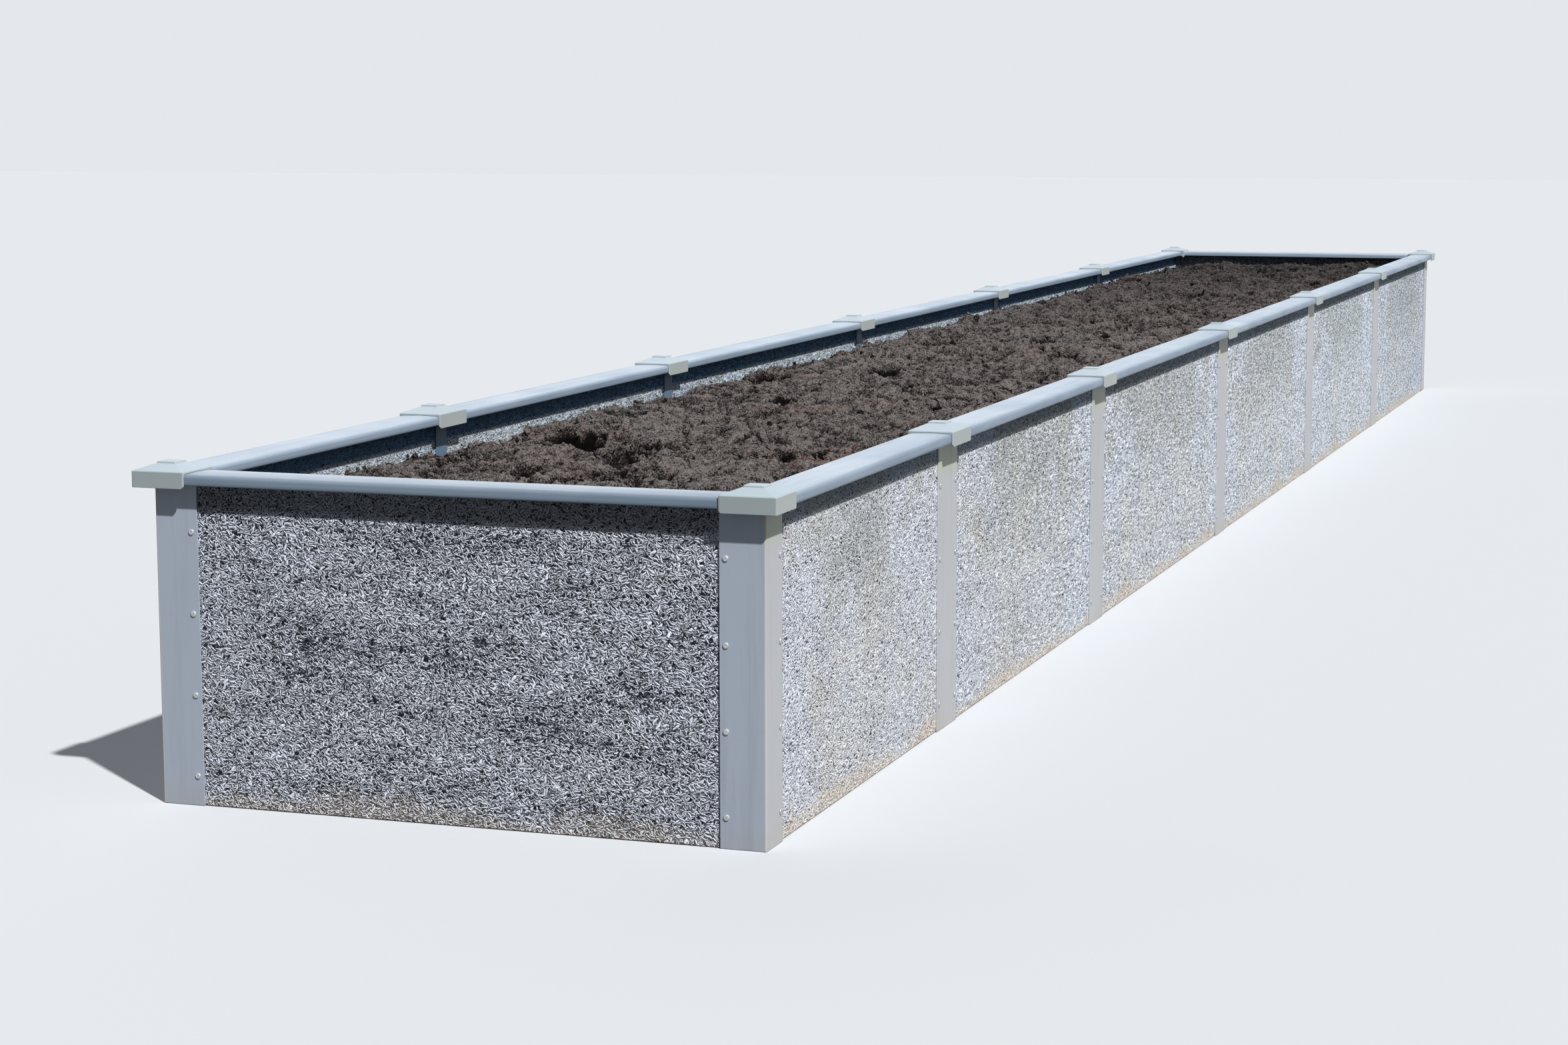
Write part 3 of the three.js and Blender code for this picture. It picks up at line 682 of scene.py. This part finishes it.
def soil_relief(x, y):
    """Height of the soil's surface, and how pale it is, for wetness and painted shade: 1 on the
    crests, below 0 in the hollows.
    """
    bend_x = x + 0.050 * (layered(x, y, 0.09, 11, 5, 0.65) - 0.5)
    bend_y = y + 0.050 * (layered(x, y, 0.09, 21, 5, 0.65) - 0.5)
    lumps = layered(bend_x, bend_y, 0.050, 41, 4, 0.75) - 0.5
    crumbs = layered(bend_x, bend_y, 0.019, 61, 2, 0.7, billow=True) - 0.4
    grit = layered(x, y, 0.010, 91, 1) - 0.5
    large, large_gap = clod_field(bend_x, bend_y, 0.105, 43, 0.012, 0.016, 0.020)
    small, small_gap = clod_field(bend_x, bend_y, 0.036, 47, 0.004, 0.007, 0.007)
    crack = 0.9 * np.clip(1 - large_gap / 0.0022, 0, 1) * (layered(x, y, 0.12, 31, 3) > 0.46)
    crack = np.maximum(crack, 0.4 * np.clip(1 - small_gap / 0.0010, 0, 1))
    height = soil_base(x, y) + 1.15 * large + small - 0.005
    height = height + 0.024 * lumps + 0.009 * crumbs + 0.007 * grit - 0.010 * crack
    # Paler on the crests, darker in the cracks, the cracks as painted shade
    dry_and_unshaded = 0.54 + 19 * (large - 0.004) + 1.6 * lumps + 0.9 * crumbs + 0.9 * grit - 1.2 * crack
    ragged = 1.3 * (layered(x, y, 0.030, 71, 4, 0.75) - 0.5)
    pit = np.zeros_like(x)
    for centre_x, centre_y, half_x, half_y, depth in SOIL_PITS:
        away = np.hypot((x - centre_x) / half_x, (y - centre_y) / half_y) + ragged
        share = np.clip((1.0 - away) / 0.3, 0, 1)
        height = height - PIT_DEPTH * depth * share
        pit = np.maximum(pit, share)
    open_share = 0.31 + 0.045 * np.clip((y + 1.0) / 4.0, 0, 1)
    hole = np.clip((open_share - layered(bend_x, bend_y, 0.034, 81, 3, 0.7)) / 0.025, 0, 1)
    height = np.minimum(height - 0.016 * hole, soil_base(x, y) + CLOD_LIMIT)
    # Painted shade: pits and holes pull the value below 0
    return height, np.clip(dry_and_unshaded, 0.0, 1.1) - 1.7 * pit - 1.2 * hole


def note_dry_and_unshaded(piece, parts):
    """Keep each point's paleness, for wetness and painted shade, with the mesh, for the soil's
    material.
    """
    attribute = piece.data.attributes.new("dry_and_unshaded", "FLOAT", "POINT")
    attribute.data.foreach_set("value", np.concatenate(parts))


def soil_piece(name, start, stop, step):
    """The soil from one place along the bed to another, closed below and at its ends."""
    side, end = WIDTH / 2 - BOARD_INSIDE, LENGTH / 2 - BOARD_INSIDE
    xs = np.linspace(-side, side, int(2 * side / step) + 1)
    ys = np.linspace(max(start, -end), min(stop, end), int((stop - start) / step) + 1)
    x, y = np.meshgrid(xs, ys, indexing="ij")
    z, dry_and_unshaded_values = soil_relief(x, y)
    edge = np.minimum(side - np.abs(x), end - np.abs(y))
    z = np.where(edge < EDGE_BAND, np.minimum(z, soil_base(x, y) + EDGE_LIMIT), z)
    z = z - LEFT_GAP[0] * np.clip(1 - (x + side) / LEFT_GAP[1], 0, 1) ** 2
    near_post = np.zeros(ys.shape, bool)
    for centre in POST_CENTRES:
        near_post |= np.abs(ys - centre) < POST_LIP + step
    near_post |= LENGTH / 2 - np.abs(ys) < CORNER_LIP + step
    limit = np.where(near_post, WIDTH / 2 - POST_INSIDE, side)
    x = np.clip(x, -limit[None, :], limit[None, :])
    at_corner = WIDTH / 2 - np.abs(xs) < CORNER_LIP + step
    limit = np.where(at_corner, LENGTH / 2 - POST_INSIDE, end)
    y = np.clip(y, -limit[:, None], limit[:, None])
    rows, columns = x.shape
    top = np.stack([x, y, z], -1).reshape(-1, 3)
    index = np.arange(rows * columns).reshape(rows, columns)
    corners = [index[:-1, :-1], index[1:, :-1], index[1:, 1:], index[:-1, 1:]]
    faces = np.stack(corners, -1).reshape(-1, 4).tolist()
    rim = [*index[:, 0], *index[-1, 1:], *index[-2::-1, -1], *index[0, -2:0:-1]]
    foot = len(top)
    bottom = top[rim].copy()
    bottom[:, 2] = SOIL_FOOT
    count = len(rim)
    for k in range(count):
        after = (k + 1) % count
        faces.append([int(rim[k]), foot + k, foot + after, int(rim[after])])
    faces.append([foot + k for k in range(count)][::-1])
    piece = mesh_object(name, np.vstack([top, bottom]).tolist(), faces, soil_material)
    note_dry_and_unshaded(piece, [dry_and_unshaded_values.reshape(-1), np.zeros(count)])
    return piece


def ball(rounds):
    """Points and triangles of a ball of radius 1."""
    shape = bmesh.new()
    bmesh.ops.create_icosphere(shape, subdivisions=rounds, radius=1.0)
    vertices = np.array([vertex.co[:] for vertex in shape.verts])
    faces = np.array([[vertex.index for vertex in face.verts] for face in shape.faces])
    shape.free()
    return vertices, faces


SPIN_LIMIT = 6.28  # radians, about a full turn


def crumbs_piece(name, groups, region, material, seed):
    """Loose irregular lumps, part sunk in the soil. Groups give the rounds, count and radii."""
    rng = np.random.default_rng(seed)
    points, faces, dry_and_unshaded_values, start = [], [], [], 0
    for rounds, count, low, high in groups:
        vertices, triangles = ball(rounds)
        x = rng.uniform(region[0], region[1], count)
        y = rng.uniform(region[2], region[3], count)
        ground, dry_and_unshaded = soil_relief(x, y)
        radius = low * (high / low) ** (rng.random(count) ** 1.6)
        for k in range(count):
            lump = vertices * (1 + rng.uniform(-0.22, 0.22, (len(vertices), 1)))
            lump = lump * rng.uniform((0.8, 0.6, 0.5), (1.3, 1.0, 0.85))
            spin = Euler(rng.uniform(0, SPIN_LIMIT, 3)).to_matrix()
            lump = radius[k] * lump @ np.array(spin).T
            points.append(lump + (x[k], y[k], ground[k] + radius[k] * rng.uniform(-0.1, 0.45)))
            faces.append(triangles + start)
            dry_and_unshaded_values.append(np.full(len(vertices), dry_and_unshaded[k] + rng.uniform(-0.25, 0.35)))
            start += len(vertices)
    points, faces = np.vstack(points).tolist(), np.vstack(faces).tolist()
    piece = mesh_object(name, points, faces, material, smooth=False)
    note_dry_and_unshaded(piece, dry_and_unshaded_values)
    return piece


near_split, far_split = SOIL_SPLITS
soils = [
    soil_piece("soil_near", -LENGTH / 2, near_split, 0.0047),
    soil_piece("soil_middle", near_split, far_split, 0.0053),
    soil_piece("soil_far", far_split, LENGTH / 2, 0.0056),
]
across, along = WIDTH / 2 - CLOD_MARGIN, LENGTH / 2 - CLOD_MARGIN
clods = [
    crumbs_piece(
        "soil_clods_near",
        groups=[(2, 260, 0.006, 0.015), (1, 8200, 0.0020, 0.0056)],
        region=(-across, across, -along, CLOD_SPLIT),
        material=soil_material,
        seed=5,
    ),
    crumbs_piece(
        "soil_clods_far",
        groups=[(2, 340, 0.006, 0.017), (1, 7800, 0.0026, 0.0072)],
        region=(-across, across, CLOD_SPLIT, along),
        material=soil_material,
        seed=8,
    ),
]
clay = crumbs_piece(
    "clay_crumbs",
    groups=[(1, 90, 0.003, 0.008)],
    region=(0.245, 0.34, -3.10, -2.72),
    material=clay_material,
    seed=6,
)
for piece in (*soils, *clods, clay):
    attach(piece, "root")
    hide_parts("soil")


# ---- Screws ----


def screw_head(sides=20):
    """A pan head with a crossed recess, its axis along +Z and its seat at 0."""
    angles = [2 * math.pi * k / sides for k in range(sides)]
    turns = [(math.cos(angle), math.sin(angle)) for angle in angles]
    vertices = [(0, 0, RECESS_FLOOR)]
    for share in (0.25, 0.5, 0.8, 1.0):
        for cosine, sine in turns:
            height = HEAD_HEIGHT * math.sqrt(max(0.0, 1 - (HEAD_CURVE * share) ** 2))
            arm = min(abs(cosine), abs(sine)) * share
            if share < RECESS_REACH and arm < RECESS_ARM:
                height -= RECESS_DEPTH
            vertices.append((HEAD_RADIUS * share * cosine, HEAD_RADIUS * share * sine, height))
    for share, height in ((1.0, SEAT_GAP), (SHANK_RADIUS, SEAT_GAP), (SHANK_RADIUS, -SHANK_DEPTH)):
        for cosine, sine in turns:
            vertices.append((HEAD_RADIUS * share * cosine, HEAD_RADIUS * share * sine, height))
    faces = [(0, 1 + k, 1 + (k + 1) % sides) for k in range(sides)]
    for ring in range((len(vertices) - 1) // sides - 1):
        a, b = 1 + ring * sides, 1 + (ring + 1) * sides
        faces += [(a + k, b + k, b + (k + 1) % sides, a + (k + 1) % sides) for k in range(sides)]
    last = len(vertices) - sides
    faces.append([last + k for k in range(sides)][::-1])
    return np.array(vertices), faces


def screw_places():
    """Each screw's seat on a wall's outer face and its outward direction."""
    places = []
    for turn in range(4):
        on_side = turn % 2 == 1
        span, depth = (LENGTH, WIDTH) if on_side else (WIDTH, LENGTH)
        spin = Matrix.Rotation(turn * math.pi / 2, 3, "Z")
        along = [span / 2 - CORNER_FACE + SCREW_EDGE, -span / 2 + CORNER_FACE - SCREW_EDGE]
        if on_side:
            reach = POST_FACE / 2 - SCREW_EDGE
            sign = 1 if turn == 1 else -1
            along += [sign * centre + side * reach for centre in POST_CENTRES for side in (-1, 1)]
        for place in along:
            for height in SCREW_HEIGHTS:
                seat = spin @ Vector((place, -depth / 2, height))
                places.append((seat, spin @ Vector((0, -1, 0))))
    return places


def screws_piece():
    """All the screws in one mesh, each turned at random about its axis."""
    head, head_faces = screw_head()
    rng = np.random.default_rng(7)
    vertices, faces = [], []
    for seat, outward in screw_places():
        spin = Matrix.Rotation(rng.uniform(0, math.pi), 3, "Z")
        turn = outward.to_track_quat("Z", "Y").to_matrix() @ spin
        start = len(vertices) * len(head)
        vertices.append(head @ np.array(turn).T + np.array(seat))
        faces += [tuple(start + k for k in face) for face in head_faces]
    return mesh_object("flange_screws", np.vstack(vertices).tolist(), faces, screw_material)


screws = screws_piece()
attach(screws, "root")

# ---- Floor, light and camera ----


def looked_at(tree):
    """1 for rays from the camera, gloss and glass, 0 for the light that falls on the object."""
    path = tree.nodes.new("ShaderNodeLightPath")
    total = path.outputs["Is Camera Ray"]
    for name in ("Is Glossy Ray", "Is Transmission Ray"):
        node = tree.nodes.new("ShaderNodeMath")
        node.operation = "MAXIMUM"
        tree.links.new(total, node.inputs[0])
        tree.links.new(path.outputs[name], node.inputs[1])
        total = node.outputs[0]
    return total


def floor_material():
    g = new_material("pale_floor")
    base = g.mix(looked_at(g.tree), FLOOR_LIT, FLOOR_SEEN)
    return g.surface(base, 0.9, **{"Specular IOR Level": 0.0})


bpy.ops.mesh.primitive_plane_add(size=80, location=(0, 0, -0.0005))
floor = bpy.context.object
floor.name = "floor"
floor.data.materials.append(floor_material())

world = bpy.data.worlds.new("studio")
bpy.context.scene.world = world
world.use_nodes = True
background = world.node_tree.nodes["Background"]
strength = world.node_tree.nodes.new("ShaderNodeMapRange")
world.node_tree.links.new(looked_at(world.node_tree), strength.inputs["Value"])
strength.inputs["To Min"].default_value, strength.inputs["To Max"].default_value = SKY_STRENGTH
world.node_tree.links.new(strength.outputs["Result"], background.inputs["Strength"])
sky = world.node_tree.nodes.new("ShaderNodeMix")
sky.data_type = "RGBA"
world.node_tree.links.new(looked_at(world.node_tree), sky.inputs[0])
sky.inputs[6].default_value = SKY_LIT
sky.inputs[7].default_value = SKY_SEEN
world.node_tree.links.new(sky.outputs[2], background.inputs["Color"])

for name, (energy, shade, width, direction) in LAMPS.items():
    lamp = bpy.data.objects.new(name, bpy.data.lights.new(name, "SUN"))
    lamp.data.energy = energy
    lamp.data.color = shade
    lamp.data.angle = math.radians(width)
    lamp.rotation_euler = Vector(direction).to_track_quat("Z", "Y").to_euler()
    bpy.context.scene.collection.objects.link(lamp)

camera = bpy.data.objects.new("camera", bpy.data.cameras.new("camera"))
turn = Vector(CAMERA_TURN)
spin = Matrix.Rotation(turn.length, 4, turn)
camera.matrix_world = Matrix.Translation(CAMERA_PLACE) @ spin
camera.data.sensor_width = 36
camera.data.lens = CAMERA_LENS
camera.data.clip_end = 200
bpy.context.scene.collection.objects.link(camera)
bpy.context.scene.camera = camera
bpy.context.scene.view_settings.view_transform = "Standard"
